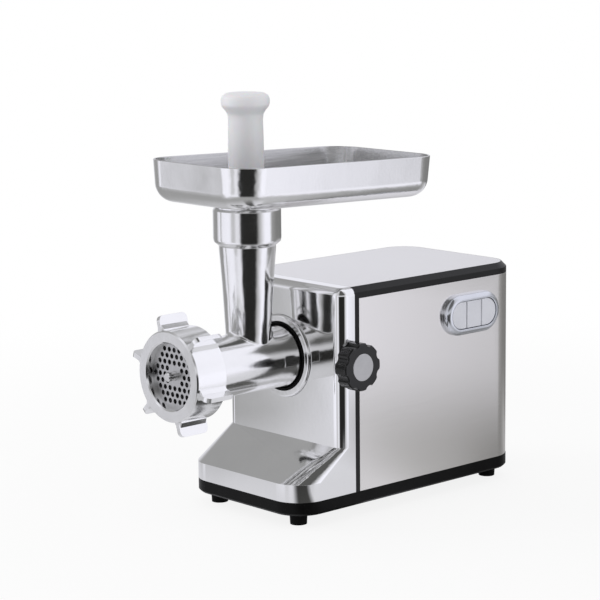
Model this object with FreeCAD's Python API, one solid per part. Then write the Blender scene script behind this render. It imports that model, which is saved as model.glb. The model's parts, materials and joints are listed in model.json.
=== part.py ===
import FreeCAD, Part
import math
import os

# Electric meat grinder. Millimetres, +Z up, the grinding head faces -Y and the buttons are on +X.
# The origin is on the table, under the middle of the base.

V = FreeCAD.Vector

# Housing
BODY_HALF = 75.0
FOOT_H = 11.0
FOOT_R = 8.0
BASE_TOP = 23.0
BASE_FRONT = -134.0
BASE_REAR = 146.0
BASE_WALL = 2.5
LIP_TOP = 38.7
LIP_CORNER = 28.0
FACE_Y = -82.5
FACE_CORNER = 9.5
CREASE_Z = 64.5
TOP_Z = 204.6
TOP_ROUND = 7.6
SEAM_Y = -65.0
STRIP_W = 5.0
REAR_CORNER = 28.0
BAND_LOW = 194.6
BAND_CHAMFER = 4.7
COVER_WALL = 2.0
WRAP_WALL = 1.0
TRIM_DEEP = 3.0
PANEL_T = 1.5
PANEL_EDGE = 0.4

# Buttons on the right side
PILL_Y = 79.0
PILL_Z = 164.0
PILL_L = 70.0
PILL_H = 37.5
PILL_RAISE = 7.0
PILL_IN_L = 58.0
PILL_IN_H = 25.5
BUTTON_GAP = 0.35
BUTTON_FACE = 6.2
BUTTON_STROKE = 3.0

# Drive line
AXIS_Z = 137.0
GEAR_M = 1.0
PINION_T = 13
WHEEL_T = 65
CENTRES = GEAR_M * (PINION_T + WHEEL_T) / 2
IDLER_Z = AXIS_Z - CENTRES
MOTOR_Z = IDLER_Z - CENTRES
BOX_HALF = 42.0
BOX_FRONT = -52.0
BOX_REAR = -16.0
BOX_LOW = 24.0
BOX_HIGH = 182.0
BOX_WALL = 5.0
COVER_T = 5.0
MOTOR_R = 30.0
MOTOR_FRONT = -9.0
MOTOR_REAR = 62.0
SHAFT_R = 3.0
OUT_R = 8.0
IDLER_R = 4.0
RUN = 0.05

# Head socket and lock
SOCKET_OUT = 37.0
SOCKET_BORE = 28.7
SOCKET_PROJ = 2.5
LOCK_Y = -69.0
LOCK_R = 3.5
KNOB_R = 21.0
KNOB_GAP = 0.8
KNOB_T = 13.2
KNOB_BACK = BODY_HALF + KNOB_GAP
KNOB_FRONT = KNOB_BACK + KNOB_T
KNOB_SCALLOPS = 8
CAP_R = 12.0

# Grinding head
BARREL_R = 26.5
BARREL_END_R = 28.3
BARREL_BORE = 22.0
BARREL_REAR = -58.0
FLANGE_R = 35.0
TUBE_Y = -121.5
TUBE_LEDGE = 178.0
MOUTH_LOW = 244.0
MOUTH_TOP = 273.5
MOUTH_R = 29.6
MOUTH_BORE = 26.6
PLATE_R = 31.0
PLATE_T = 8.0
PLATE_FRONT = -205.6
HEAD_FRONT = PLATE_FRONT + 0.6
PLATE_PITCH = 6.4
PLATE_HOLE_R = 2.15
AUGER_R = 21.4
AUGER_PITCH = 30.0
PIN_R = 4.0
PIN_TIP = -214.4

# Ring nut
RING_FRONT = -213.0
RING_REAR = -182.0
RING_R = 39.5
RING_OPEN = 28.8
LUG_TIP = 52.5
LUG_T = 4.2
LUG_COUNT = 6
LUG_FIRST = 45.0

# Feeding
TRAY_HALF = 67.2
TRAY_FRONT = -64.2
TRAY_BACK = 173.2
TRAY_LOW = 277.0
TRAY_DEEP = 37.0
TRAY_CORNER = 28.0
TRAY_DRAFT = 5.0
TRAY_ROUND = 17.0
TRAY_TILT = 1.7
TRAY_WALL = 1.6
SPIGOT_R = 26.2
THROAT_R = 22.5
PUSH_TOP = 372.0
PUSH_R = 15.5
PUSH_HEAD_R = 21.0
PUSH_FOOT_R = 17.6


def cyl(r, h, pos, axis):
    return Part.makeCylinder(r, h, V(*pos), V(*axis))


def box(x0, x1, y0, y1, z0, z1):
    return Part.makeBox(x1 - x0, y1 - y0, z1 - z0, V(x0, y0, z0))


def fused(shapes):
    first = shapes[0]
    return first.fuse(shapes[1:]).removeSplitter()


def revolved(points, pos, axis):
    # The points are (radius, distance along the axis); the axis is +Z or +Y.
    if axis == "z":
        wire = [V(pos[0] + r, pos[1], a) for r, a in points]
        turn = V(0, 0, 1)
    else:
        wire = [V(pos[0] + r, a, pos[2]) for r, a in points]
        turn = V(0, 1, 0)
    face = Part.Face(Part.makePolygon(wire + [wire[0]]))
    solid = face.revolve(V(*pos), turn, 360)
    return Part.Solid(solid) if solid.ShapeType == "Shell" else solid


def plan_wire(half, front, rear, r_front, r_rear, z):
    # Rounded rectangle seen from above, with its own corner radius at the front and at the rear.
    def corner(cx, cy, r, start):
        c = V(cx, cy, z)
        a = [math.radians(start + k * 45) for k in range(3)]
        p = [c + V(r * math.cos(t), r * math.sin(t), 0) for t in a]
        return Part.Arc(p[0], p[1], p[2]).toShape()

    arcs = [
        corner(half - r_rear, rear - r_rear, r_rear, 0),
        corner(-half + r_rear, rear - r_rear, r_rear, 90),
        corner(-half + r_front, front + r_front, r_front, 180),
        corner(half - r_front, front + r_front, r_front, 270),
    ]
    edges = []
    for i in range(4):
        edges.append(arcs[i])
        tail = arcs[i].valueAt(arcs[i].LastParameter)
        nxt = arcs[(i + 1) % 4]
        edges.append(Part.makeLine(tail, nxt.valueAt(nxt.FirstParameter)))
    return Part.Wire(edges)


def plan_prism(half, front, rear, r_front, r_rear, z0, z1):
    face = Part.Face(plan_wire(half, front, rear, r_front, r_rear, z0))
    return face.extrude(V(0, 0, z1 - z0))


def stadium(length, height, x, depth):
    # Pill-shaped prism on the right side, running from x by depth along +X.
    r = height / 2
    c = length / 2 - r
    mid = box(x, x + depth, PILL_Y - c, PILL_Y + c, PILL_Z - r, PILL_Z + r)
    ends = [cyl(r, depth, (x, PILL_Y + s * c, PILL_Z), (1, 0, 0)) for s in (-1, 1)]
    return fused([mid] + ends)


def ring(outer, inner, y0, y1, z=AXIS_Z):
    body = cyl(outer, y1 - y0, (0, y0, z), (0, 1, 0))
    return body.cut(cyl(inner, y1 - y0, (0, y0, z), (0, 1, 0)))


def hull_front(inset):
    # Front part of the housing as one solid: lip, apron and upright face with rounded corners.
    half = BODY_HALF - inset
    back = SEAM_Y + 25
    lip_r = LIP_CORNER - inset
    face_r = FACE_CORNER - inset
    low = plan_wire(half, BASE_FRONT + inset, back, lip_r, 4, BASE_TOP)
    lip = plan_wire(half, BASE_FRONT + inset, back, lip_r, 4, LIP_TOP - inset * 0.4)
    crease = plan_wire(half, FACE_Y + inset, back, face_r, 4, CREASE_Z - inset * 0.4)
    top = plan_wire(half, FACE_Y + inset, back, face_r, 4, TOP_Z - inset)
    lower = Part.makeLoft([low, lip], True, True)
    apron = Part.makeLoft([lip, crease], True, True)
    upper = Part.makeLoft([crease, top], True, True)
    edges = []
    for e in upper.Edges:
        b = e.BoundBox
        if b.ZMin > TOP_Z - inset - 0.01 and b.YMin < FACE_Y + FACE_CORNER - 1:
            edges.append(e)
    upper = upper.makeFillet(TOP_ROUND - inset, edges)
    return fused([lower, apron, upper])


def base_tray():
    body = plan_prism(BODY_HALF, BASE_FRONT, BASE_REAR, LIP_CORNER, REAR_CORNER, FOOT_H, BASE_TOP)
    low = [e for e in body.Edges if e.BoundBox.ZMax < FOOT_H + 0.01]
    body = body.makeChamfer(2.0, low)
    w = BASE_WALL
    hollow = plan_prism(BODY_HALF - w, BASE_FRONT + w, BASE_REAR - w, LIP_CORNER - w, REAR_CORNER - w,
                        FOOT_H + 3, BASE_TOP)
    body = body.cut(hollow)
    posts = []
    for x in (-34.0, 34.0):
        for y in (-34.0, 34.0):
            top = BOX_LOW if y < 0 else MOTOR_Z - MOTOR_R - 8
            posts.append(cyl(6, top - FOOT_H - 2, (x, y, FOOT_H + 2), (0, 0, 1)))
    body = fused([body] + posts)
    cuts = []
    for x, y in foot_spots():
        cuts.append(cyl(3.2, 8, (x, y, FOOT_H - 1), (0, 0, 1)))
    for k in range(7):
        y = 66.0 + k * 7
        cuts.append(box(-24, 24, y, y + 3, FOOT_H - 1, FOOT_H + 4))
    for x, y in screw_spots():
        cuts.append(cyl(2.2, 6, (x, y, FOOT_H - 1), (0, 0, 1)))
    return body.cut(Part.makeCompound(cuts))


def foot_spots():
    return [(-52.6, -113.0), (52.6, -113.0), (-52.6, 127.0), (52.6, 127.0)]


def screw_spots():
    return [(-62.0, -60.0), (62.0, -60.0), (-62.0, 70.0), (62.0, 70.0)]


def rubber_feet():
    feet = []
    for x, y in foot_spots():
        pad = Part.makeCone(FOOT_R - 0.6, FOOT_R, FOOT_H, V(x, y, 0))
        stem = cyl(3.0, 6.5, (x, y, FOOT_H - 0.5), (0, 0, 1))
        feet.append(fused([pad, stem]))
    return Part.makeCompound(feet)


def base_screws():
    screws = []
    for x, y in screw_spots():
        head = cyl(3.6, 2.0, (x, y, FOOT_H - 2.0), (0, 0, 1))
        shank = cyl(2.0, 9.0, (x, y, FOOT_H - 0.5), (0, 0, 1))
        slot = box(x - 2.6, x + 2.6, y - 0.5, y + 0.5, FOOT_H - 2.5, FOOT_H - 1.2)
        screws.append(fused([head, shank]).cut(slot))
    return Part.makeCompound(screws)


def front_cover():
    shell = hull_front(0).cut(hull_front(COVER_WALL))
    keep = box(-90, 90, BASE_FRONT - 5, SEAM_Y, BASE_TOP, TOP_Z + 5)
    shell = shell.common(keep)
    floor = box(-90, 90, -200, 50, BASE_TOP - 5, BASE_TOP)
    shell = shell.cut(floor)
    mouth = cyl(SOCKET_OUT + 0.2, 30, (0, FACE_Y - 10, AXIS_Z), (0, 1, 0))
    return shell.cut(mouth).cut(lock_slot())


def lock_slot():
    # Clearance for the lock bolt where it passes the front corner of the housing.
    start = BODY_HALF - FACE_CORNER + 3
    return cyl(LOCK_R + 0.9, FACE_CORNER + 9, (start, LOCK_Y, AXIS_Z), (1, 0, 0))


def side_wrap():
    front = SEAM_Y + STRIP_W
    outer = plan_prism(BODY_HALF, front - 20, BASE_REAR - 0.5, 2, REAR_CORNER, BASE_TOP, BAND_LOW)
    t = WRAP_WALL
    inner = plan_prism(BODY_HALF - t, front - 30, BASE_REAR - 0.5 - t, 1, REAR_CORNER - t, BASE_TOP, BAND_LOW)
    skin = outer.cut(inner).cut(box(-90, 90, front - 40, front, 0, 300))
    hole = stadium(PILL_IN_L + 4, PILL_IN_H + 4, BODY_HALF - 5, 10)
    gland = cyl(8.2, 20, (40, BASE_REAR - 10, 42), (0, 1, 0))
    return skin.cut(hole).cut(gland)


def trim_frame():
    # Upright strips beside the front cover and the band around the top, in one moulding.
    front = SEAM_Y
    inset = TRIM_DEEP
    strip = hull_front(0).cut(hull_front(inset))
    strip = strip.common(box(-90, 90, SEAM_Y, SEAM_Y + STRIP_W, BASE_TOP, BAND_LOW))
    strip = strip.cut(lock_slot())
    rear = BASE_REAR - 0.5
    band = plan_prism(BODY_HALF, front - 40, rear, 12, REAR_CORNER, BAND_LOW, TOP_Z)
    rim = [e for e in band.Edges if e.BoundBox.ZMin > TOP_Z - 0.01]
    band = band.makeChamfer(BAND_CHAMFER, rim)
    ledge = BAND_CHAMFER + 4
    band = band.cut(plan_prism(BODY_HALF - ledge, front - 60, rear - ledge, 2, REAR_CORNER - ledge,
                               BAND_LOW - 1, TOP_Z + 1))
    step = BAND_CHAMFER + PANEL_EDGE
    seat = plan_prism(BODY_HALF - step, front - 60, rear - step, 2, REAR_CORNER - step,
                      TOP_Z - PANEL_T, TOP_Z + 1)
    band = band.cut(seat)
    band = band.cut(box(-90, 90, front - 80, front, 0, 300))
    return fused([strip, band])


def top_panel():
    step = BAND_CHAMFER + PANEL_EDGE + 0.1
    half = BODY_HALF - step
    rear = BASE_REAR - 0.5 - step
    r = REAR_CORNER - step
    plate = plan_prism(half, SEAM_Y - 40, rear, 2, r, TOP_Z - PANEL_T, TOP_Z)
    return plate.cut(box(-90, 90, SEAM_Y - 60, SEAM_Y + 0.1, 0, 300))


def button_bezel():
    outer = stadium(PILL_L, PILL_H, BODY_HALF, PILL_RAISE)
    rim = [e for e in outer.Edges if e.BoundBox.XMin > BODY_HALF + PILL_RAISE - 0.01]
    outer = outer.makeFillet(5.2, rim)
    sleeve = stadium(PILL_IN_L + 3.4, PILL_IN_H + 3.4, BODY_HALF - 6, 7)
    return fused([outer, sleeve]).cut(stadium(PILL_IN_L, PILL_IN_H, BODY_HALF - 7, 30))


def button(lo, hi):
    # One third of the pill, from lo to hi along Y, on a plunger that enters the switch block.
    g = BUTTON_GAP
    face = BODY_HALF + BUTTON_FACE
    cap = stadium(PILL_IN_L - 2 * g, PILL_IN_H - 2 * g, face - 9, 9)
    cap = cap.common(box(0, 200, PILL_Y + lo + g, PILL_Y + hi - g, 0, 400))
    rim = [e for e in cap.Edges if e.BoundBox.XMin > face - 0.01]
    cap = cap.makeFillet(0.8, rim)
    mid = PILL_Y + (lo + hi) / 2
    stem = cyl(2.5, 8, (face - 16.5, mid, PILL_Z), (1, 0, 0))
    return fused([cap, stem])


def button_splits():
    half = PILL_IN_L / 2
    return [-half, -half / 3, half / 3, half]


def off_button():
    s = button_splits()
    return button(s[0], s[1])


def on_button():
    s = button_splits()
    return button(s[1], s[2])


def reverse_button():
    s = button_splits()
    return button(s[2], s[3])


def switch_block():
    face = BODY_HALF + BUTTON_FACE - 9
    body = box(face - 24, face - 4.5, PILL_Y - 29, PILL_Y + 29, PILL_Z - 14, PILL_Z + 14)
    s = button_splits()
    holes = []
    for i in range(3):
        mid = PILL_Y + (s[i] + s[i + 1]) / 2
        holes.append(cyl(2.9, 12, (face - 12.5, mid, PILL_Z), (1, 0, 0)))
    body = body.cut(Part.makeCompound(holes))
    ears = []
    for s2 in (-1, 1):
        y = PILL_Y + s2 * 34
        ears.append(box(face - 8.5, face - 4.5, y - 7, y + 7, PILL_Z - 8, PILL_Z + 8))
        ears.append(box(face - 8.5, BODY_HALF - WRAP_WALL, y - 3, y + 3, PILL_Z - 8, PILL_Z + 8))
    return fused([body] + ears)


def head_socket():
    front = FACE_Y - SOCKET_PROJ
    body = ring(SOCKET_OUT, SOCKET_BORE, front, BOX_FRONT)
    rim = [e for e in body.Edges if e.BoundBox.YMax < front + 0.01 and e.BoundBox.XLength > SOCKET_OUT * 1.9]
    body = body.makeFillet(2.0, rim)
    seat = ring(SOCKET_BORE + 2.6, SOCKET_BORE - 1, front - 1, front + 3.4)
    body = body.cut(seat)
    return body.cut(cyl(LOCK_R + RUN, 40, (10, LOCK_Y, AXIS_Z), (1, 0, 0))).cut(socket_screws())


def socket_seal():
    front = FACE_Y - SOCKET_PROJ
    return ring(SOCKET_BORE + 2.5, SOCKET_BORE + 0.1, front - 0.8, front + 3.3)


def socket_screws():
    screws = []
    for a in (45, 135, 225, 315):
        x = 32.8 * math.cos(math.radians(a))
        z = AXIS_Z + 32.8 * math.sin(math.radians(a))
        screws.append(cyl(2.0, 18, (x, BOX_FRONT - 12, z), (0, 1, 0)))
    return Part.makeCompound(screws)


def lock_bolt():
    tip = BARREL_END_R + 0.5
    rod = cyl(LOCK_R, KNOB_FRONT - 6 - tip, (tip, LOCK_Y, AXIS_Z), (1, 0, 0))
    return rod


def lock_knob():
    x0 = KNOB_BACK
    body = cyl(KNOB_R, KNOB_FRONT - x0, (x0, LOCK_Y, AXIS_Z), (1, 0, 0))
    cuts = []
    for k in range(KNOB_SCALLOPS):
        a = math.radians(360 / KNOB_SCALLOPS * (k + 0.5))
        y = LOCK_Y + (KNOB_R + 3.4) * math.cos(a)
        z = AXIS_Z + (KNOB_R + 3.4) * math.sin(a)
        cuts.append(cyl(5.4, 40, (x0 - 5, y, z), (1, 0, 0)))
    body = body.cut(Part.makeCompound(cuts))
    rim = [e for e in body.Edges if e.BoundBox.XMin > KNOB_FRONT - 0.01]
    body = body.makeFillet(1.6, rim)
    body = body.cut(cyl(CAP_R + 0.1, 5, (KNOB_FRONT - 2, LOCK_Y, AXIS_Z), (1, 0, 0)))
    return body.cut(cyl(LOCK_R + 0.02, 40, (KNOB_FRONT - 46, LOCK_Y, AXIS_Z), (1, 0, 0)))


def knob_cap():
    cap = cyl(CAP_R, 2.4, (KNOB_FRONT - 2, LOCK_Y, AXIS_Z), (1, 0, 0))
    rim = [e for e in cap.Edges if e.BoundBox.XMin > KNOB_FRONT + 0.3]
    return cap.makeFillet(0.5, rim)


def gear(teeth, phase, y0, y1, z, bore, addendum):
    # Involute spur gear about a Y axis; phase is the angle of one tooth's middle, in degrees from +X to +Z.
    teeth = round(teeth)
    rp = GEAR_M * teeth / 2
    rb = rp * math.cos(math.radians(20))
    ra = rp + addendum * GEAR_M
    rf = rp - 1.25 * GEAR_M
    inv20 = math.tan(math.radians(20)) - math.radians(20)
    half = math.pi / (2 * teeth) - 0.06 / rp

    def spread(r):
        if r <= rb:
            return half + inv20
        a = math.acos(rb / r)
        return half + inv20 - (math.tan(a) - a)

    low = max(rb, rf)
    radii = [low + (ra - low) * k / 4 for k in range(5)]
    if rf < rb:
        radii = [rf] + radii
    pts = []
    for t in range(teeth):
        mid = math.radians(phase) + 2 * math.pi * t / teeth
        for r in radii:
            pts.append((r, mid - spread(r)))
        for r in reversed(radii):
            pts.append((r, mid + spread(r)))
    poly = [V(r * math.cos(a), y0, z + r * math.sin(a)) for r, a in pts]
    outer = Part.makePolygon(poly + [poly[0]])
    hole = Part.Wire(Part.makeCircle(bore, V(0, y0, z), V(0, 1, 0)))
    face = Part.Face([outer, hole])
    return face.extrude(V(0, y1 - y0, 0))


def gearbox_housing():
    body = box(-BOX_HALF, BOX_HALF, BOX_FRONT, BOX_REAR, BOX_LOW, BOX_HIGH)
    uprights = [e for e in body.Edges if e.BoundBox.YLength > 30]
    body = body.makeFillet(6, uprights)
    w = BOX_WALL
    cave = box(-BOX_HALF + w, BOX_HALF - w, BOX_FRONT + w, BOX_REAR + 1, BOX_LOW + w, BOX_HIGH - w)
    body = body.cut(cave)
    body = fused([body, ring(15, OUT_R, BOX_FRONT, BOX_FRONT + w + 0.5)])
    body = body.cut(cyl(13, 40, (0, BOX_FRONT - 20, AXIS_Z), (0, 1, 0)))
    body = body.cut(cyl(IDLER_R, 10, (0, BOX_FRONT + 2, IDLER_Z), (0, 1, 0)))
    body = body.cut(socket_screws())
    return body.cut(gearbox_screws())


def output_bearing():
    return ring(13, OUT_R + RUN, BOX_FRONT, BOX_FRONT + BOX_WALL + 0.5)


def gearbox_cover():
    body = box(-BOX_HALF, BOX_HALF, BOX_REAR, BOX_REAR + COVER_T, BOX_LOW, BOX_HIGH)
    edges = [e for e in body.Edges if e.BoundBox.YLength > COVER_T - 0.1]
    body = body.makeFillet(6, edges)
    body = body.cut(cyl(9, 20, (0, BOX_REAR - 5, MOTOR_Z), (0, 1, 0)))
    body = body.cut(cyl(IDLER_R, 20, (0, BOX_REAR - 5, IDLER_Z), (0, 1, 0)))
    return body.cut(gearbox_screws())


def gearbox_screws():
    screws = []
    for x in (-BOX_HALF + 2.5, BOX_HALF - 2.5):
        for z in (BOX_LOW + 12, BOX_HIGH - 12):
            y = BOX_REAR + COVER_T
            shank = cyl(1.6, 16, (x, y - 16, z), (0, 1, 0))
            screws.append(fused([shank, cyl(3.2, 2.4, (x, y, z), (0, 1, 0))]))
    return Part.makeCompound(screws)


def idler_shaft():
    return cyl(IDLER_R, BOX_REAR + COVER_T - BOX_FRONT - 2, (0, BOX_FRONT + 2, IDLER_Z), (0, 1, 0))


def idler_gear():
    # The wheel meshes with the motor pinion below it and the small gear with the output gear above it.
    wheel = gear(WHEEL_T, -90 + 180 / WHEEL_T, -27, -19, IDLER_Z, IDLER_R + RUN, 0.8)
    small = gear(PINION_T, 90, -45, -29, IDLER_Z, IDLER_R + RUN, 1.0)
    spacer = ring(7, IDLER_R + RUN, -29.5, -26.5, IDLER_Z)
    return wheel.fuse([small, spacer])


def output_gear():
    return gear(WHEEL_T, -90 + 180 / WHEEL_T, -44, -30, AXIS_Z, OUT_R + 0.02, 0.8)


def output_shaft():
    # Round shaft with a collar and a square drive socket at its front end.
    points = [(0, -64), (12, -64), (12, -54), (OUT_R, -54), (OUT_R, -29), (0, -29)]
    body = revolved(points, (0, 0, AXIS_Z), "y")
    return body.cut(box(-5.1, 5.1, -65, -55, AXIS_Z - 5.1, AXIS_Z + 5.1))


def motor_can():
    y0 = MOTOR_FRONT
    y1 = MOTOR_REAR
    can = ring(MOTOR_R, MOTOR_R - 2, y0, y1, MOTOR_Z)
    ends = [ring(MOTOR_R - 1, SHAFT_R + RUN, y, y + 4, MOTOR_Z) for y in (y0, y1 - 4)]
    nose = ring(8.8, SHAFT_R + RUN, BOX_REAR + 1, y0 + 1, MOTOR_Z)
    body = fused([can, nose] + ends)
    slots = []
    for k in range(6):
        a = math.radians(60 * k + 30)
        x = 19 * math.cos(a)
        z = MOTOR_Z + 19 * math.sin(a)
        slots.append(cyl(4, 20, (x, y1 - 10, z), (0, 1, 0)))
    return body.cut(Part.makeCompound(slots))


def motor_rotor():
    y0 = MOTOR_FRONT + 12
    y1 = MOTOR_REAR - 22
    return revolved([(0, -28), (SHAFT_R, -28), (SHAFT_R, y0), (20, y0), (20, y1), (11, y1), (11, y1 + 12),
                     (SHAFT_R, y1 + 12), (SHAFT_R, MOTOR_REAR + 16), (0, MOTOR_REAR + 16)],
                    (0, 0, MOTOR_Z), "y")


def brush_holders():
    y = MOTOR_REAR - 16
    reach = MOTOR_R - 2.2
    parts = [box(11.3, reach, y - 4, y + 4, MOTOR_Z - 3, MOTOR_Z + 3)]
    parts.append(box(-reach, -11.3, y - 4, y + 4, MOTOR_Z - 3, MOTOR_Z + 3))
    return Part.makeCompound(parts)


def motor_pinion():
    return gear(PINION_T, 90, -28, -18, MOTOR_Z, SHAFT_R + 0.02, 1.0)


def cooling_fan():
    y = MOTOR_REAR + 5
    body = ring(8, SHAFT_R + 0.02, y, y + 8, MOTOR_Z)
    disc = ring(25, SHAFT_R + 0.02, y, y + 1.5, MOTOR_Z)
    blades = []
    for k in range(9):
        blade = box(6, 24, y + 0.5, y + 8, MOTOR_Z - 0.8, MOTOR_Z + 0.8)
        blade.rotate(V(0, 0, MOTOR_Z), V(0, 1, 0), 40 * k)
        blades.append(blade)
    return fused([body, disc] + blades)


def motor_cradle():
    low = MOTOR_Z - MOTOR_R - 8
    plate = box(-42, 42, 26, 42, low, low + 4)
    saddle = box(-24, 24, 26, 42, low, MOTOR_Z - 18)
    return fused([plate, saddle]).cut(cyl(MOTOR_R, 60, (0, 0, MOTOR_Z), (0, 1, 0)))


def tube_outline():
    return [(19.6, AXIS_Z), (20.2, 165), (22.3, 204), (24.8, 238), (24.8, 240.5), (MOUTH_R - 0.6, MOUTH_LOW),
            (MOUTH_R, MOUTH_LOW + 3), (MOUTH_R, MOUTH_TOP - 2), (MOUTH_R - 1.6, MOUTH_TOP)]


def grinder_head():
    c = (0, 0, AXIS_Z)
    flare = BARREL_END_R
    barrel = revolved([(0, BARREL_REAR), (flare, BARREL_REAR), (flare, -86), (BARREL_R + 0.6, -91),
                       (BARREL_R, -105), (BARREL_R, -178), (FLANGE_R - 2.5, RING_REAR - 0.5),
                       (FLANGE_R, RING_REAR - 1), (FLANGE_R, HEAD_FRONT), (0, HEAD_FRONT)], c, "y")
    outline = tube_outline()
    t = (0, TUBE_Y, 0)
    tube = revolved([(0, AXIS_Z)] + outline + [(0, MOUTH_TOP)], t, "z")
    body = fused([barrel, tube])
    joint = []
    for e in body.Edges:
        b = e.BoundBox
        if b.ZMin > AXIS_Z + 2 and b.ZMax < 168 and b.YMin > TUBE_Y - 24 and b.YMax < TUBE_Y + 24:
            joint.append(e)
    body = body.makeFillet(3.0, joint)
    plate_back = PLATE_FRONT + PLATE_T
    bore = revolved([(0, HEAD_FRONT - 1), (PLATE_R + 0.3, HEAD_FRONT - 1), (PLATE_R + 0.3, plate_back),
                     (27.5, plate_back), (27.5, plate_back + 8), (BARREL_BORE, plate_back + 8),
                     (BARREL_BORE, -82), (16.05, -82), (16.05, BARREL_REAR + 1), (0, BARREL_REAR + 1)],
                    c, "y")
    shaft = revolved([(0, AXIS_Z), (16.6, AXIS_Z), (16.6, TUBE_LEDGE), (18.4, TUBE_LEDGE), (19.6, 204),
                      (22.6, 240), (22.6, 246), (MOUTH_BORE, 246), (MOUTH_BORE, MOUTH_TOP + 1),
                      (0, MOUTH_TOP + 1)], t, "z")
    body = body.cut(bore).cut(shaft)
    return body.cut(box(-PLATE_R - 2.3, -PLATE_R + 2, HEAD_FRONT - 1, plate_back, AXIS_Z - 2, AXIS_Z + 2))


def auger_bush():
    return ring(16.0, 11.05, -82, -65)


def auger():
    # Core with a helical flight, a square tang at the rear, a square for the blade and a round pin in front.
    c = (0, 0, AXIS_Z)
    front = PLATE_FRONT + PLATE_T + 7.5
    core = revolved([(0, -66), (11, -66), (11, -82), (17, -83), (13, -100), (9.5, front), (0, front)], c, "y")
    tang = box(-5, 5, -66.5, -56, AXIS_Z - 5, AXIS_Z + 5)
    square = box(-5, 5, PLATE_FRONT + PLATE_T, front + 1, AXIS_Z - 5, AXIS_Z + 5)
    pin = cyl(PIN_R, front + 1 - PIN_TIP, (0, PIN_TIP, AXIS_Z), (0, 1, 0))
    tip = [e for e in pin.Edges if e.BoundBox.YMax < PIN_TIP + 0.01]
    pin = pin.makeChamfer(0.8, tip)
    length = -84 - front
    helix = Part.makeHelix(AUGER_PITCH, length, AUGER_R - 1)
    r0 = 8.5
    r1 = AUGER_R
    sect = Part.makePolygon([V(r0, 0, 0), V(r1, 0, 1.2), V(r1, 0, 4.2), V(r0, 0, 6.5), V(r0, 0, 0)])
    flight = Part.Wire(helix).makePipeShell([sect], True, True)
    flight.rotate(V(0, 0, 0), V(1, 0, 0), -90)
    flight.translate(V(0, front, AXIS_Z))
    limit = cyl(AUGER_R + 1, -84 - front, (0, front, AXIS_Z), (0, 1, 0))
    return fused([core, tang, square, pin, flight.common(limit)])


def cutting_blade():
    y0 = PLATE_FRONT + PLATE_T + 0.1
    hub = cyl(11, 6, (0, y0, AXIS_Z), (0, 1, 0))
    arms = []
    for k in range(4):
        arm = box(6, 25, y0, y0 + 5, AXIS_Z - 4.5, AXIS_Z + 4.5)
        slant = [e for e in arm.Edges if e.BoundBox.XLength > 18 and e.BoundBox.YMin > y0 + 4
                 and e.BoundBox.ZMin > AXIS_Z]
        arm = arm.makeChamfer(3.5, slant)
        arm.rotate(V(0, 0, AXIS_Z), V(0, 1, 0), 90 * k + 20)
        arms.append(arm)
    return fused([hub] + arms).cut(box(-5.02, 5.02, y0 - 1, y0 + 8, AXIS_Z - 5.02, AXIS_Z + 5.02))


def plate_holes():
    holes = []
    for i in range(-6, 7):
        for j in range(-6, 7):
            x = (i + j / 2) * PLATE_PITCH
            z = j * PLATE_PITCH * math.sqrt(3) / 2
            r = math.hypot(x, z)
            if 9.0 < r < 26.3:
                holes.append(cyl(PLATE_HOLE_R, PLATE_T + 2, (x, PLATE_FRONT - 1, AXIS_Z + z), (0, 1, 0)))
    return holes


def cutting_plate():
    body = cyl(PLATE_R, PLATE_T, (0, PLATE_FRONT, AXIS_Z), (0, 1, 0))
    rims = [e for e in body.Edges if e.BoundBox.YLength < 0.01]
    body = body.makeChamfer(0.5, rims)
    cuts = plate_holes()
    cuts.append(cyl(PIN_R + RUN, PLATE_T + 2, (0, PLATE_FRONT - 1, AXIS_Z), (0, 1, 0)))
    cuts.append(box(-PLATE_R - 1, -PLATE_R + 2.2, PLATE_FRONT - 1, 0, AXIS_Z - 2.1, AXIS_Z + 2.1))
    return body.cut(Part.makeCompound(cuts))


def plate_key():
    return box(-PLATE_R - 2.2, -PLATE_R + 2, PLATE_FRONT + 0.5, PLATE_FRONT + PLATE_T - 0.1,
               AXIS_Z - 1.9, AXIS_Z + 1.9)


def ring_nut():
    # Nut with an inward lip that holds the plate; the lugs are fins with rounded outer corners.
    c = (0, 0, AXIS_Z)
    inner = FLANGE_R + 0.3
    lip = PLATE_FRONT - 0.1
    r = RING_R
    body = revolved([(RING_OPEN + 1.2, RING_FRONT), (r - 1.2, RING_FRONT), (r, RING_FRONT + 1.2),
                     (r + 0.8, RING_REAR), (inner, RING_REAR), (inner, lip), (RING_OPEN, lip),
                     (RING_OPEN, RING_FRONT + 1.2)], c, "y")
    lugs = []
    for k in range(LUG_COUNT):
        h = LUG_T / 2
        lug = box(inner + 1, LUG_TIP, RING_FRONT + 0.8, RING_REAR, AXIS_Z - h, AXIS_Z + h)
        ends = [e for e in lug.Edges if e.BoundBox.ZLength > LUG_T - 0.1 and e.BoundBox.XMin > LUG_TIP - 0.1]
        lug = lug.makeFillet(5.0, ends)
        foot_w = h + 2.4
        foot = Part.makePolygon([V(inner + 1, RING_FRONT + 2.0, AXIS_Z - foot_w), V(r + 1, RING_FRONT + 2.0,
                                 AXIS_Z - foot_w), V(r + 5, RING_FRONT + 2.0, AXIS_Z - h + 0.1),
                                 V(r + 5, RING_FRONT + 2.0, AXIS_Z + h - 0.1), V(r + 1, RING_FRONT + 2.0,
                                 AXIS_Z + foot_w), V(inner + 1, RING_FRONT + 2.0, AXIS_Z + foot_w),
                                 V(inner + 1, RING_FRONT + 2.0, AXIS_Z - foot_w)])
        foot = Part.Face(foot).extrude(V(0, RING_REAR - RING_FRONT - 3.5, 0))
        both = fused([lug, foot])
        both.rotate(V(0, 0, AXIS_Z), V(0, 1, 0), -(LUG_FIRST + 360 / LUG_COUNT * k))
        lugs.append(both)
    return fused([body] + lugs)


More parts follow.
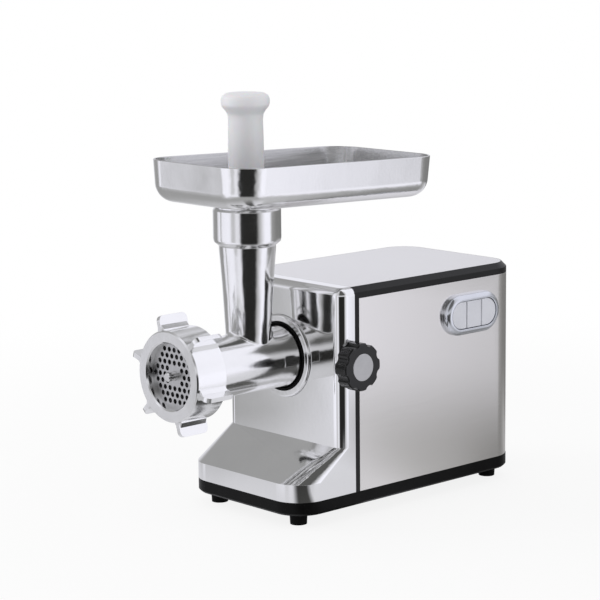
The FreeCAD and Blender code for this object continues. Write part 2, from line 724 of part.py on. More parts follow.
def tray_pan(inset):
    # Flared pan, level; its plan grows from the floor to the rim.
    grow = (TRAY_DEEP) * math.tan(math.radians(TRAY_DRAFT))
    y0 = TUBE_Y + TRAY_FRONT
    y1 = TUBE_Y + TRAY_BACK
    low = TRAY_LOW + inset
    high = TRAY_LOW + TRAY_DEEP + inset
    g = grow + inset
    bottom = plan_wire(TRAY_HALF - g, y0 + g, y1 - g, TRAY_CORNER - 4 - inset, TRAY_CORNER - 4 - inset, low)
    rim = plan_wire(TRAY_HALF - inset, y0 + inset, y1 - inset, TRAY_CORNER - inset, TRAY_CORNER - inset, high)
    pan = Part.makeLoft([bottom, rim], True, True)
    edges = [e for e in pan.Edges if e.BoundBox.ZMax < low + 0.01]
    return pan.makeFillet(TRAY_ROUND - inset, edges)


def food_tray():
    pan = tray_pan(0).cut(tray_pan(TRAY_WALL))
    top = TRAY_LOW + TRAY_DEEP
    rim = [e for e in pan.Edges if e.BoundBox.ZMin > top - 0.01]
    pan = pan.makeFillet(TRAY_WALL * 0.4, rim)
    pan.rotate(V(0, TUBE_Y, TRAY_LOW), V(1, 0, 0), -TRAY_TILT)
    t = (0, TUBE_Y, 0)
    spigot = revolved([(0, 249), (SPIGOT_R - 0.8, 249), (SPIGOT_R, 251), (SPIGOT_R, MOUTH_TOP + 0.1),
                       (MOUTH_R - 1.4, MOUTH_TOP + 0.1), (MOUTH_R - 1.4, TRAY_LOW + 2.0),
                       (0, TRAY_LOW + 2.0)], t, "z")
    floor = tray_pan(TRAY_WALL)
    floor.rotate(V(0, TUBE_Y, TRAY_LOW), V(1, 0, 0), -TRAY_TILT)
    body = fused([pan, spigot.cut(floor)])
    return body.cut(cyl(THROAT_R, 60, (0, TUBE_Y, 240), (0, 0, 1)))


def food_pusher():
    foot = TUBE_LEDGE + 0.1
    h = PUSH_HEAD_R
    r = PUSH_R
    t = PUSH_TOP
    points = [(0, foot), (PUSH_FOOT_R, foot), (PUSH_FOOT_R, foot + 6), (r + 0.2, foot + 9), (r, t - 50),
              (r - 0.5, t - 23), (r + 0.1, t - 18), (r + 2.0, t - 15), (h - 1.0, t - 12), (h, t - 9.5),
              (h, t - 5.5), (h - 1.2, t - 2.5), (h - 4.2, t - 0.5), (h - 8, t), (0, t)]
    return revolved(points, (0, TUBE_Y, 0), "z")


def cord_inlet():
    body = ring(11, 3.6, BASE_REAR - 0.5, BASE_REAR + 2.5, 42)
    neck = ring(8, 3.6, BASE_REAR - 8, BASE_REAR + 0.5, 42)
    body = fused([body, neck])
    body.translate(V(40, 0, 0))
    return body


PIECES = [
    base_tray, rubber_feet, base_screws, front_cover, side_wrap, trim_frame, top_panel, button_bezel,
    off_button, on_button, reverse_button, switch_block, head_socket, socket_seal, socket_screws, lock_bolt,
    lock_knob, knob_cap, gearbox_housing, gearbox_cover, gearbox_screws, output_bearing, idler_shaft,
    idler_gear, output_gear, output_shaft, motor_can, motor_rotor, motor_pinion, cooling_fan, brush_holders,
    motor_cradle, grinder_head, auger_bush, auger, cutting_blade, cutting_plate, plate_key, ring_nut,
    food_tray, food_pusher, cord_inlet,
]

os.makedirs("parts", exist_ok=True)
for make in PIECES:
    shape = make()
    shape.exportStep("parts/" + make.__name__ + ".step")
    print(make.__name__, len(shape.Solids), shape.isValid(), round(shape.Volume))
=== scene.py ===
import json
import math

import bpy
from mathutils import Matrix, Vector


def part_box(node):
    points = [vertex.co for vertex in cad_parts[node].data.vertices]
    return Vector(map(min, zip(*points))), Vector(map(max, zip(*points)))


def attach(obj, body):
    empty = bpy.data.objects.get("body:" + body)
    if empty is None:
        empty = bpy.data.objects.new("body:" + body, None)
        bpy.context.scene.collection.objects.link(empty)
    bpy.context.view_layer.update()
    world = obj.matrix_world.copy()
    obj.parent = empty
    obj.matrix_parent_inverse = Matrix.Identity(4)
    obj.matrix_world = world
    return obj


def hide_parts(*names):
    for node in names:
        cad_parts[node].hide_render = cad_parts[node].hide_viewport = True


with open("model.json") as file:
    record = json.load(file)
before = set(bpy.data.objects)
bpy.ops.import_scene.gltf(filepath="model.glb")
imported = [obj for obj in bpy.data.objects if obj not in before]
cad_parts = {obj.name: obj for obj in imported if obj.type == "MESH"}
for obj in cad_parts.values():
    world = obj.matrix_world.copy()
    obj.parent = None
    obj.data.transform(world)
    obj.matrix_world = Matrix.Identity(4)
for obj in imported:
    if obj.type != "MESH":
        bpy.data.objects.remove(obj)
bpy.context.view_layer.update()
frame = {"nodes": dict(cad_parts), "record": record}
nodes = frame["nodes"]
bodyOf = {n: b for b, members in frame["record"]["behaviour"]["bodies"].items() for n in members}
slotOfNode = {s["node"]: s["material_slot"] for s in frame["record"]["subparts"]}
mm = 0.001
print("frame loaded:", len(nodes), "nodes")


# small helpers for shader trees

def addNode(tree, kind, **values):
    node = tree.nodes.new(kind)
    for key, value in values.items():
        setattr(node, key, value)
    return node


def setInputs(node, **values):
    for key, value in values.items():
        node.inputs[key.replace("_", " ")].default_value = value
    return node


# links an output to a socket, or writes a plain colour or number into it
def feed(tree, source, socket):
    if isinstance(source, bpy.types.NodeSocket):
        tree.links.new(source, socket)
    else:
        socket.default_value = source


def calculate(tree, operation, *sources):
    node = addNode(tree, "ShaderNodeMath", operation=operation)
    for source, socket in zip(sources, node.inputs):
        feed(tree, source, socket)
    return node.outputs["Value"]


def blend(tree, share, first, second, kind="RGBA"):
    node = addNode(tree, "ShaderNodeMix", data_type=kind)
    for source, label in ((share, "Factor"), (first, "A"), (second, "B")):
        feed(tree, source, node.inputs[label])
    return node.outputs["Result"]


def blendShaders(tree, share, first, second):
    node = addNode(tree, "ShaderNodeMixShader")
    for source, socket in zip((share, first, second), node.inputs):
        tree.links.new(source, socket)
    return node.outputs["Shader"]


# takes a value from one range to another, 0 to 1 where no ends are given
def remap(tree, value, limits, low=0.0, high=1.0, steps="LINEAR"):
    node = addNode(tree, "ShaderNodeMapRange", interpolation_type=steps)
    setInputs(node, From_Min=limits[0], From_Max=limits[1])
    for source, label in ((value, "Value"), (low, "To Min"), (high, "To Max")):
        feed(tree, source, node.inputs[label])
    return node.outputs["Result"]


def newGroup(name, inputs, outputs):
    group = bpy.data.node_groups.new(name, "ShaderNodeTree")
    for label, kind, value in inputs:
        socket = group.interface.new_socket(name=label, in_out="INPUT", socket_type=kind)
        socket.default_value = value
    for label, kind in outputs:
        group.interface.new_socket(name=label, in_out="OUTPUT", socket_type=kind)
    start = addNode(group, "NodeGroupInput")
    end = addNode(group, "NodeGroupOutput")
    return group, start, end


def grey(v, warm=0.0):
    return (v + warm, v, v - warm, 1)


# both surface effects run from a dark, low end to a light, high end, and give a height for the bump
effectInputs = [("Low", "NodeSocketFloat", 0.2), ("High", "NodeSocketFloat", 0.35),
                ("Dark", "NodeSocketColor", grey(0.6)), ("Light", "NodeSocketColor", grey(0.7))]
effectOutputs = [("Color", "NodeSocketColor"), ("Roughness", "NodeSocketFloat"), ("Height", "NodeSocketFloat")]
noiseSpan = (0.3, 0.7)  # the part of a noise that is stretched to full contrast


def endEffect(group, start, end, share, height):
    link = group.links.new
    link(blend(group, share, start.outputs["Dark"], start.outputs["Light"]), end.inputs["Color"])
    link(remap(group, share, (0, 1), start.outputs["Low"], start.outputs["High"]), end.inputs["Roughness"])
    link(height, end.inputs["Height"])


# brushed or turned lines: noise drawn out along one direction, over a slow unevenness
brushing = {"lines": {"Scale": 1.0, "Detail": 4.0, "Roughness": 0.65}, "slow": {"Scale": 9.0, "Detail": 2.0},
            "lineShare": 0.6}


def makeBrushGroup():
    group, start, end = newGroup(
        "brushLines", [("Stretch", "NodeSocketVector", (40.0, 40.0, 900.0))] + effectInputs, effectOutputs)
    coord = addNode(group, "ShaderNodeTexCoord")
    mapping = addNode(group, "ShaderNodeMapping")
    lines = setInputs(addNode(group, "ShaderNodeTexNoise"), **brushing["lines"])
    slow = setInputs(addNode(group, "ShaderNodeTexNoise"), **brushing["slow"])
    link = group.links.new
    link(coord.outputs["Object"], mapping.inputs["Vector"])
    link(start.outputs["Stretch"], mapping.inputs["Scale"])
    link(mapping.outputs["Vector"], lines.inputs["Vector"])
    link(coord.outputs["Object"], slow.inputs["Vector"])
    height = remap(group, lines.outputs["Fac"], noiseSpan)
    uneven = calculate(group, "MULTIPLY", slow.outputs["Fac"], 1 - brushing["lineShare"])
    share = calculate(group, "MULTIPLY_ADD", height, brushing["lineShare"], uneven)
    endEffect(group, start, end, share, height)
    return group


# soft clouding of a polished or moulded surface: wipe marks and flow, with a fine grain as height
clouding = {"cloud": {"Detail": 5.0, "Roughness": 0.6, "Distortion": 0.4}, "grain": {"Detail": 2.0, "Roughness": 0.5}}


def makeCloudGroup():
    group, start, end = newGroup(
        "surfaceCloud", [("Scale", "NodeSocketFloat", 30.0), ("Grain", "NodeSocketFloat", 900.0)] + effectInputs,
        effectOutputs)
    coord = addNode(group, "ShaderNodeTexCoord")
    cloud = setInputs(addNode(group, "ShaderNodeTexNoise"), **clouding["cloud"])
    grain = setInputs(addNode(group, "ShaderNodeTexNoise"), **clouding["grain"])
    link = group.links.new
    for noise, label in ((cloud, "Scale"), (grain, "Grain")):
        link(coord.outputs["Object"], noise.inputs["Vector"])
        link(start.outputs[label], noise.inputs["Scale"])
    share = remap(group, cloud.outputs["Fac"], noiseSpan)
    endEffect(group, start, end, share, grain.outputs["Fac"])
    return group


brushLines = makeBrushGroup()
surfaceCloud = makeCloudGroup()


def finishMaterial(name, group, groupValues, shaderValues, bump, depth):
    material = bpy.data.materials.new(name)
    material.use_nodes = True
    tree = material.node_tree
    shader = tree.nodes["Principled BSDF"]
    for key, value in shaderValues.items():
        shader.inputs[key].default_value = value
    effect = addNode(tree, "ShaderNodeGroup", node_tree=group)
    for key, value in groupValues.items():
        effect.inputs[key].default_value = value
    relief = setInputs(addNode(tree, "ShaderNodeBump"), Strength=bump, Distance=depth)
    link = tree.links.new
    link(effect.outputs["Color"], shader.inputs["Base Color"])
    link(effect.outputs["Roughness"], shader.inputs["Roughness"])
    link(effect.outputs["Height"], relief.inputs["Height"])
    link(relief.outputs["Normal"], shader.inputs["Normal"])
    return material


# each finish: effect, the effect's values, the shader's own values, bump strength, bump depth in metres
metal = {"Metallic": 1.0}
finishLooks = {
    "brightCover": (
        surfaceCloud,
        {"Scale": 14, "Grain": 300, "Low": 0.05, "High": 0.09, "Dark": grey(0.88), "Light": grey(0.94)},
        metal, 0.015, 0.0004),
    "brushedSide": (
        brushLines,
        {"Stretch": (30, 30, 1500), "Low": 0.15, "High": 0.24, "Dark": grey(0.855, 0.02),
         "Light": grey(0.885, 0.02)},
        metal, 0.015, 0.0002),
    "silverPanel": (
        brushLines,
        {"Stretch": (1300, 40, 40), "Low": 0.16, "High": 0.26, "Dark": grey(0.76, 0.008),
         "Light": grey(0.81, 0.008)},
        metal, 0.04, 0.0002),
    "castBright": (
        surfaceCloud,
        {"Scale": 22, "Grain": 260, "Low": 0.10, "High": 0.17, "Dark": grey(0.86), "Light": grey(0.94)},
        metal, 0.05, 0.0005),
    "trayBright": (
        surfaceCloud,
        {"Scale": 30, "Grain": 420, "Low": 0.12, "High": 0.18, "Dark": grey(0.90), "Light": grey(0.96)},
        metal, 0.05, 0.0004),
    "ringBright": (
        surfaceCloud,
        {"Scale": 26, "Grain": 300, "Low": 0.13, "High": 0.19, "Dark": grey(0.93), "Light": grey(0.98)},
        metal, 0.04, 0.0004),
    "chromeTrim": (
        surfaceCloud,
        {"Scale": 40, "Grain": 500, "Low": 0.06, "High": 0.11, "Dark": grey(0.86), "Light": grey(0.93)},
        metal, 0.01, 0.0003),
    "toolSteel": (
        brushLines,
        {"Stretch": (900, 50, 60), "Low": 0.26, "High": 0.40, "Dark": grey(0.50), "Light": grey(0.64)},
        metal, 0.06, 0.0002),
    "screwSteel": (
        surfaceCloud,
        {"Scale": 120, "Grain": 900, "Low": 0.28, "High": 0.42, "Dark": grey(0.48), "Light": grey(0.60)},
        metal, 0.05, 0.0002),
    "buttonSilver": (
        surfaceCloud,
        {"Scale": 60, "Grain": 1800, "Low": 0.30, "High": 0.40, "Dark": (0.74, 0.75, 0.80, 1),
         "Light": (0.80, 0.81, 0.86, 1)},
        {"Metallic": 0.35, "Coat Weight": 0.3, "Coat Roughness": 0.2}, 0.03, 0.0001),
    "bezelSatin": (
        surfaceCloud,
        {"Scale": 60, "Grain": 1500, "Low": 0.08, "High": 0.13, "Dark": (0.68, 0.70, 0.75, 1),
         "Light": (0.74, 0.76, 0.81, 1)},
        {"Metallic": 0.9}, 0.02, 0.0001),
    "blackPlastic": (
        surfaceCloud,
        {"Scale": 45, "Grain": 1600, "Low": 0.26, "High": 0.36, "Dark": grey(0.004), "Light": grey(0.008)},
        {"Specular IOR Level": 0.28}, 0.06, 0.0002),
    "baseBlack": (
        surfaceCloud,
        {"Scale": 45, "Grain": 1600, "Low": 0.30, "High": 0.42, "Dark": grey(0.003), "Light": grey(0.006)},
        {"Specular IOR Level": 0.10}, 0.06, 0.0002),
    "blackKnob": (
        surfaceCloud,
        {"Scale": 60, "Grain": 1500, "Low": 0.13, "High": 0.22, "Dark": grey(0.004), "Light": grey(0.008)},
        {"Specular IOR Level": 0.45}, 0.04, 0.0002),
    "rubber": (
        surfaceCloud,
        {"Scale": 80, "Grain": 2200, "Low": 0.60, "High": 0.78, "Dark": grey(0.004), "Light": grey(0.008)},
        {"Specular IOR Level": 0.08}, 0.15, 0.0003),
    "pusherWhite": (
        surfaceCloud,
        {"Scale": 25, "Grain": 1400, "Low": 0.34, "High": 0.44, "Dark": (0.86, 0.86, 0.89, 1),
         "Light": (0.91, 0.91, 0.94, 1)},
        {"Subsurface Weight": 0.15, "Subsurface Scale": 0.004}, 0.04, 0.0002),
    "rawCasting": (
        surfaceCloud,
        {"Scale": 70, "Grain": 800, "Low": 0.45, "High": 0.60, "Dark": grey(0.34), "Light": grey(0.44)},
        metal, 0.2, 0.0004),
    "gearSteel": (
        brushLines,
        {"Stretch": (60, 900, 60), "Low": 0.26, "High": 0.40, "Dark": grey(0.36), "Light": grey(0.48)},
        metal, 0.05, 0.0002),
    "bronze": (
        surfaceCloud,
        {"Scale": 90, "Grain": 1200, "Low": 0.32, "High": 0.45, "Dark": (0.50, 0.33, 0.15, 1),
         "Light": (0.62, 0.43, 0.21, 1)},
        metal, 0.08, 0.0002),
    "motorPaint": (
        surfaceCloud,
        {"Scale": 60, "Grain": 1300, "Low": 0.40, "High": 0.50, "Dark": grey(0.05), "Light": grey(0.07)},
        {"Specular IOR Level": 0.5}, 0.08, 0.0002),
}
finishes = {name: finishMaterial(name, *look) for name, look in finishLooks.items()}
print("finishes made:", len(finishes))

finishOfSlot = {
    "black_plastic": "blackPlastic", "black_knob": "blackKnob", "rubber": "rubber", "bright_cover": "brightCover",
    "brushed_side": "brushedSide", "silver_panel": "silverPanel", "chrome_trim": "chromeTrim",
    "button_silver": "buttonSilver", "cast_bright": "castBright", "tool_steel": "toolSteel",
    "screw_steel": "screwSteel", "pusher_white": "pusherWhite", "dark_casting": "rawCasting",
    "gear_steel": "gearSteel", "bronze": "bronze", "motor_steel": "motorPaint", "fan_plastic": "blackPlastic",
}
# nodes that look different from the others in their slot
special = {"food_tray": "trayBright", "knob_cap": "toolSteel", "base_tray": "baseBlack",
           "button_bezel": "bezelSatin", "ring_nut": "ringBright"}


def paint(obj, finish):
    obj.data.materials.clear()
    obj.data.materials.append(finishes[finish])


for name, obj in nodes.items():
    paint(obj, special.get(name, finishOfSlot[slotOfNode[name]]))


# visible rigid pieces: a merged copy of the solid with softened edges, in place of the raw facets.
# The width of each soft edge is in millimetres, and 0 leaves the edges as they are
softened = {
    "front_cover": 0.5, "side_wrap": 0.25, "trim_frame": 0.5, "top_panel": 0.3, "base_tray": 0.8,
    "button_bezel": 0.3, "off_button": 0.25, "on_button": 0.25, "reverse_button": 0.25, "head_socket": 0.5,
    "socket_seal": 0.4, "lock_knob": 0.5, "knob_cap": 0.2, "grinder_head": 0.8, "ring_nut": 0.5,
    "cutting_plate": 0.25, "food_tray": 0.0, "food_pusher": 1.2, "rubber_feet": 0.8, "auger": 0.3,
    "cord_inlet": 0.4,
}
softening = {"merge": 2e-6, "flat": math.radians(0.02), "smooth": math.radians(30), "segments": 3}
crease = math.radians(28)  # edges sharper than this are softened


def pickOnly(obj):
    bpy.ops.object.select_all(action="DESELECT")
    obj.select_set(True)
    bpy.context.view_layer.objects.active = obj


def applyModifier(piece, kind, **values):
    modifier = piece.modifiers.new(kind.lower(), kind)
    for key, value in values.items():
        setattr(modifier, key, value)
    bpy.ops.object.modifier_apply(modifier=modifier.name)


def softCopy(name, width):
    source = nodes[name]
    pickOnly(source)
    bpy.ops.object.duplicate()
    piece = bpy.context.view_layer.objects.active
    piece.name = name + "_dressed"
    if piece.data.has_custom_normals:  # the facets' own normals would outlast the merge
        bpy.ops.mesh.customdata_custom_splitnormals_clear()
    bpy.ops.object.mode_set(mode="EDIT")
    bpy.ops.mesh.select_all(action="SELECT")
    bpy.ops.mesh.remove_doubles(threshold=softening["merge"])
    if width:
        bpy.ops.mesh.dissolve_limited(angle_limit=softening["flat"])
    bpy.ops.object.mode_set(mode="OBJECT")
    if width:
        applyModifier(piece, "BEVEL", width=width * mm, segments=softening["segments"], limit_method="ANGLE",
                      angle_limit=crease)
    bpy.ops.object.shade_smooth_by_angle(angle=softening["smooth"])
    applyModifier(piece, "WEIGHTED_NORMAL", mode="FACE_AREA_WITH_ANGLE", weight=100, keep_sharp=True)
    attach(piece, bodyOf[name])
    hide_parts(name)
    return piece


dressed = {}
for name, width in softened.items():
    dressed[name] = softCopy(name, width)
print("edges softened on", len(dressed), "pieces")

# the tray's inside is brushed along its length and duller than its polished outside, and its darker colour is painted
# shade in the tray's hollow
trayInside = {
    # brush lines, with colours darker than the outside as painted shade
    "lines": {"Stretch": (400, 14, 700), "Low": 0.14, "High": 0.26, "Dark": grey(0.48), "Light": grey(0.78)},
    "floorTilt": 0.5, "wallTilt": 0.2,  # least part of a face's normal that points up, or to the middle
}


def brushAndShadeTrayInside():
    mesh = dressed["food_tray"].data
    low, high = (Vector(c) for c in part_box("food_tray"))
    middle = (low + high) / 2
    mark = mesh.attributes.new("inside", "FLOAT", "FACE")
    for face in mesh.polygons:
        inward = (middle - face.center) * Vector((1, 1, 0))
        isWall = inward.length > 0 and face.normal.dot(inward.normalized()) > trayInside["wallTilt"]
        isFloor = face.normal.z > trayInside["floorTilt"]
        # faces marked here get the darker colour: painted shade in the tray's hollow
        mark.data[face.index].value = float(isFloor or (isWall and face.center.z > middle.z))
    tree = finishes["trayBright"].node_tree
    shader = tree.nodes["Principled BSDF"]
    lines = addNode(tree, "ShaderNodeGroup", node_tree=brushLines)
    for key, value in trayInside["lines"].items():
        lines.inputs[key].default_value = value
    inside = addNode(tree, "ShaderNodeAttribute", attribute_name="inside")
    for label, socket, kind in (("Color", "Base Color", "RGBA"), ("Roughness", "Roughness", "FLOAT")):
        outside = shader.inputs[socket].links[0].from_socket
        mixed = blend(tree, inside.outputs["Fac"], outside, lines.outputs[label], kind)
        tree.links.new(mixed, shader.inputs[socket])


# brushes the tray's inside and paints shade into it
brushAndShadeTrayInside()
print("tray inside brushed")

# low cross cast on the right of the barrel, which shows how far the head goes in, in millimetres.
# It starts flat, clear of the barrel, and is then drawn onto it
setMark = {"clear": 30.0, "along": -97.5, "height": 138.0, "core": 4.6, "arm": 3.4, "cuts": 3, "raise": 0.35,
           "wall": 0.9, "round": 0.15, "segments": 2, "smooth": math.radians(40)}


def makeSetMark():
    middle = Vector((setMark["clear"], setMark["along"], setMark["height"])) * mm
    reach = setMark["core"] * mm * 0.49  # just inside the core's edges, to pick them by place
    bpy.ops.object.select_all(action="DESELECT")
    bpy.ops.mesh.primitive_plane_add(size=setMark["core"] * mm, rotation=(0, math.pi / 2, 0), location=middle)
    piece = bpy.context.view_layer.objects.active
    piece.name = "set_mark"
    bpy.ops.object.transform_apply(location=True, rotation=True, scale=True)
    for way in ((0, 1, 0), (0, -1, 0), (0, 0, 1), (0, 0, -1)):
        out = Vector(way)
        for vert in piece.data.vertices:
            vert.select = False
        for face in piece.data.polygons:
            face.select = False
        for edge in piece.data.edges:
            a, b = (piece.data.vertices[k].co - middle for k in edge.vertices)
            edge.select = a.dot(out) > reach and b.dot(out) > reach
        bpy.ops.object.mode_set(mode="EDIT")
        bpy.ops.mesh.select_mode(type="EDGE")
        bpy.ops.mesh.extrude_edges_move(TRANSFORM_OT_translate={"value": out * setMark["arm"] * mm})
        bpy.ops.object.mode_set(mode="OBJECT")
    bpy.ops.object.mode_set(mode="EDIT")
    bpy.ops.mesh.select_all(action="SELECT")
    bpy.ops.mesh.subdivide(number_cuts=setMark["cuts"])
    bpy.ops.object.mode_set(mode="OBJECT")
    applyModifier(piece, "SHRINKWRAP", target=dressed["grinder_head"], wrap_method="NEAREST_SURFACEPOINT",
                  wrap_mode="ABOVE_SURFACE", offset=setMark["raise"] * mm)
    applyModifier(piece, "SOLIDIFY", thickness=setMark["wall"] * mm, offset=-1.0)
    applyModifier(piece, "BEVEL", width=setMark["round"] * mm, segments=setMark["segments"], limit_method="ANGLE",
                  angle_limit=crease)
    bpy.ops.object.shade_smooth_by_angle(angle=setMark["smooth"])
    paint(piece, "castBright")
    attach(piece, "head")


makeSetMark()
print("set mark made")

# what bright metal mirrors: pale panels and dark walls, as (degrees from -Y towards +X, brightness).
# From the low band on, each takes over between its two heights, which are sines of the angle above the horizon
surround = {
    "low": {"tones": (
        (-180, 0.22), (-150, 0.20), (-132, 0.60), (-116, 0.80), (-100, 0.36), (-72, 0.30), (-64, 0.90), (-53, 0.90),
        (-51, 0.30), (-48, 0.50), (-45, 0.92), (-16, 0.97), (-9, 0.90), (-4, 0.58), (5, 0.58), (11, 0.84),
        (20, 0.82), (30, 0.02), (82, 0.02), (90, 0.40), (103, 0.75), (113, 1.0), (132, 1.0), (141, 0.34),
        (165, 0.22), (180, 0.22))},
    "mid": {"heights": (0.02, 0.10), "tones": (
        (-180, 0.40), (-160, 0.60), (-132, 0.90), (-116, 0.80), (-100, 0.40), (-60, 0.40), (-45, 0.90), (-10, 0.88),
        (-4, 0.58), (5, 0.58), (11, 0.82), (20, 0.80), (45, 0.62), (90, 0.62), (113, 0.97), (140, 0.92),
        (165, 0.40), (180, 0.40))},
    "high": {"heights": (0.22, 0.48), "tones": (
        (-180, 0.95), (-150, 0.80), (-125, 0.34), (-60, 0.38), (-20, 0.85), (25, 0.50), (35, 0.10), (90, 0.10),
        (100, 0.60), (130, 0.95), (180, 0.95))},
    "slope": {"heights": (-0.25, -0.31), "tones": (  # the far floor, a little below the horizon
        (-180, 0.50), (-155, 0.80), (-116, 0.60), (-100, 0.34), (-62, 0.34), (-44, 0.62), (-30, 0.95), (20, 0.90),
        (30, 0.02), (82, 0.02), (90, 0.40), (103, 0.75), (113, 0.97), (146, 0.92), (158, 0.30), (180, 0.50))},
    "below": {"heights": (-0.38, -0.65), "tone": 0.36},  # the shaded floor close by, steeply downwards
}
roomTint = {"warm": 0.985, "blue": 0.95, "blueGain": 0.12}  # pale panels lean to blue and dark walls to brown


def roomTone(v):
    warm = v * roomTint["warm"]
    return (warm, warm, v * (roomTint["blue"] + roomTint["blueGain"] * v), 1)


# height of a point, and its angle round the upright axis, in radians and as 0 to 1 for a ramp
def placeRound(tree, vector):
    split = addNode(tree, "ShaderNodeSeparateXYZ")
    tree.links.new(vector, split.inputs["Vector"])
    front = calculate(tree, "MULTIPLY", split.outputs["Y"], -1.0)
    turn = calculate(tree, "ARCTAN2", split.outputs["X"], front)
    return split.outputs["Z"], turn, remap(tree, turn, (-math.pi, math.pi))


def toneRamp(tree, around, stops):
    ramp = addNode(tree, "ShaderNodeValToRGB")
    marks = ramp.color_ramp.elements
    for k, (angle, value) in enumerate(stops):
        place = (angle + 180) / 360
        if k == 0:
            mark = marks[0]
        elif k == len(stops) - 1:
            mark = marks[len(marks) - 1]
        else:
            mark = marks.new(place)
        mark.position = place
        mark.color = roomTone(value)
    tree.links.new(around, ramp.inputs["Fac"])
    return ramp.outputs["Color"]


def makeSurround():
    group, start, end = newGroup("surroundTone", [("Vector", "NodeSocketVector", (0, 0, 0))],
                                 [("Color", "NodeSocketColor")])
    height, _, around = placeRound(group, start.outputs["Vector"])
    colour = None
    for band in surround.values():
        tone = toneRamp(group, around, band["tones"]) if "tones" in band else roomTone(band["tone"])
        if colour is None:
            colour = tone
        else:
            colour = blend(group, remap(group, height, band["heights"], steps="SMOOTHSTEP"), colour, tone)
    group.links.new(colour, end.inputs["Color"])
    return group


surroundTone = makeSurround()

# pale floor, in metres: white to the camera, and whiter away from the object so that its shadow stays.
# Bright metal mirrors painted shade close to the object: glowing floor tones that stand in for the object's shadow on
# the floor, with a painted dark patch; it mirrors the surround beyond them
paleFloor = {
    "size": 40.0, "drop": 0.0002, "white": 0.93, "roughness": 0.7, "specular": 0.1, "glow": 0.86,
    "fade": (0.35, 1.0), "nearEnd": (0.16, 0.46),
    # painted shade on the floor by angle, seen only in reflections; the 0.06 stretch is a painted dark patch
    "paintedFloorShade": ((-180, 0.44), (-150, 0.70), (26, 0.70), (33, 0.06), (52, 0.06), (60, 0.70), (103, 0.70), (122, 0.48),
             (133, 0.41), (143, 0.26), (153, 0.24), (166, 0.42), (180, 0.44)),
    "shadeFrom": (math.radians(103), math.radians(122)), "shadeReach": 0.62,  # painted floor shade reaches further behind
}


def makeFloor():
    bpy.ops.object.select_all(action="DESELECT")
    bpy.ops.mesh.primitive_plane_add(size=paleFloor["size"], location=(0, 0, -paleFloor["drop"]))
    floor = bpy.context.view_layer.objects.active
    floor.name = "floor"
    material = bpy.data.materials.new("paleFloor")
    material.use_nodes = True
    tree = material.node_tree
    link = tree.links.new
    shader = tree.nodes["Principled BSDF"]
    shader.inputs["Base Color"].default_value = grey(paleFloor["white"])
    shader.inputs["Roughness"].default_value = paleFloor["roughness"]
    shader.inputs["Specular IOR Level"].default_value = paleFloor["specular"]
    rays = addNode(tree, "ShaderNodeLightPath")
    coord = addNode(tree, "ShaderNodeTexCoord")
    length = addNode(tree, "ShaderNodeVectorMath", operation="LENGTH")
    link(coord.outputs["Object"], length.inputs[0])
    far = length.outputs["Value"]
    fade = remap(tree, far, paleFloor["fade"], paleFloor["glow"], 1.0, "SMOOTHSTEP")
    white = addNode(tree, "ShaderNodeEmission")
    white.inputs["Color"].default_value = grey(1.0)
    seen = blendShaders(tree, calculate(tree, "MULTIPLY", rays.outputs["Is Camera Ray"], fade),
                        shader.outputs["BSDF"], white.outputs["Emission"])
    _, turn, around = placeRound(tree, coord.outputs["Object"])
    shaded = remap(tree, turn, paleFloor["shadeFrom"], steps="SMOOTHSTEP")
    reach = remap(tree, shaded, (0, 1), 1.0, paleFloor["shadeReach"])
    away = calculate(tree, "MULTIPLY", far, reach)
    # glowing tones seen only in reflections: painted shade of the object on the floor, with a painted dark patch
    paintedFloorShade = addNode(tree, "ShaderNodeEmission")
    link(toneRamp(tree, around, paleFloor["paintedFloorShade"]), paintedFloorShade.inputs["Color"])
    beyond = addNode(tree, "ShaderNodeBsdfTransparent")
    mirrored = blendShaders(tree, remap(tree, away, paleFloor["nearEnd"], steps="SMOOTHSTEP"),
                            paintedFloorShade.outputs["Emission"], beyond.outputs["BSDF"])
    surface = blendShaders(tree, rays.outputs["Is Glossy Ray"], seen, mirrored)
    link(surface, tree.nodes["Material Output"].inputs["Surface"])
    floor.data.materials.append(material)


makeFloor()

ambient = 0.72  # plain soft light from all round


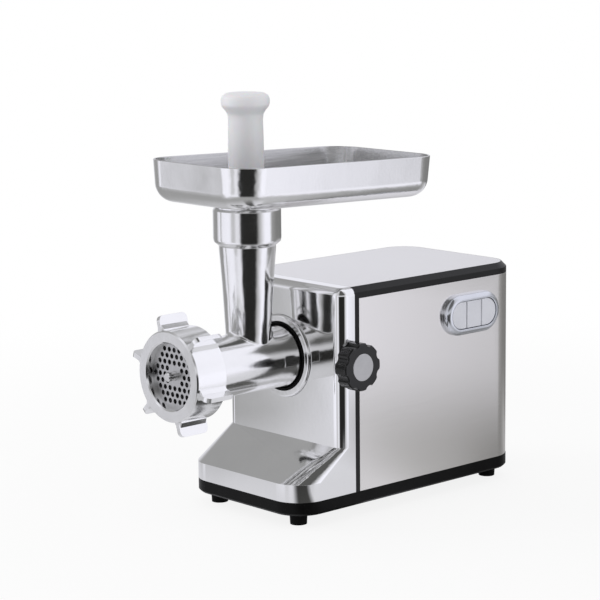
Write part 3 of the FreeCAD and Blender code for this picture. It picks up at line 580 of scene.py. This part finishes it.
def makeWorld():
    world = bpy.data.worlds.new("studioWorld")
    bpy.context.scene.world = world
    world.use_nodes = True
    tree = world.node_tree
    link = tree.links.new
    coord = addNode(tree, "ShaderNodeTexCoord")
    around = addNode(tree, "ShaderNodeGroup", node_tree=surroundTone)
    link(coord.outputs["Generated"], around.inputs["Vector"])
    rays = addNode(tree, "ShaderNodeLightPath")
    light = blend(tree, rays.outputs["Is Glossy Ray"], grey(ambient), around.outputs["Color"])
    seen = blend(tree, rays.outputs["Is Camera Ray"], light, grey(1.0))
    link(seen, tree.nodes["Background"].inputs["Color"])


makeWorld()

# soft lamps, which the metal doesn't mirror
lamps = {
    "keyPanel": {"place": (-1.5, -1.3, 1.3), "size": 1.2, "power": 14},
    "sidePanel": {"place": (1.30, 1.00, 0.42), "size": 0.5, "power": 2.0},
}
lampAim = (0, -0.05, 0.15)


def addLamp(name, values):
    light = bpy.data.lights.new(name, "AREA")
    light.energy = values["power"]
    light.size = values["size"]
    lamp = bpy.data.objects.new(name, light)
    bpy.context.collection.objects.link(lamp)
    lamp.location = values["place"]
    lamp.visible_glossy = False
    aim = Vector(lampAim) - lamp.location
    lamp.rotation_euler = aim.to_track_quat("-Z", "Y").to_euler()


for name, values in lamps.items():
    addLamp(name, values)

# camera at the photograph's place: azimuth from -Y towards +X, height angle and roll in degrees
view = {"azimuth": 47.6, "elevation": 9.93, "roll": -0.62, "lens": 131.56, "sensor": 36, "far": 1.94697,
        "target": (0.00119, -0.0616, 0.18435), "clip": 50}


def placeCamera():
    az, el, roll = (math.radians(view[key]) for key in ("azimuth", "elevation", "roll"))
    right = Vector((math.cos(az), math.sin(az), 0))
    back = Vector((math.sin(az) * math.cos(el), -math.cos(az) * math.cos(el), math.sin(el)))
    up = back.cross(right)
    side = right * math.cos(roll) + up * math.sin(roll)
    top = up * math.cos(roll) - right * math.sin(roll)
    data = bpy.data.cameras.new("photoCamera")
    data.lens = view["lens"]
    data.sensor_width = view["sensor"]
    data.clip_end = view["clip"]
    camera = bpy.data.objects.new("photoCamera", data)
    bpy.context.collection.objects.link(camera)
    turn = Matrix((side, top, back)).transposed().to_4x4()
    camera.matrix_world = Matrix.Translation(Vector(view["target"]) + back * view["far"]) @ turn
    bpy.context.scene.camera = camera


placeCamera()
bpy.context.scene.view_settings.view_transform = "Standard"
print("studio and camera set")
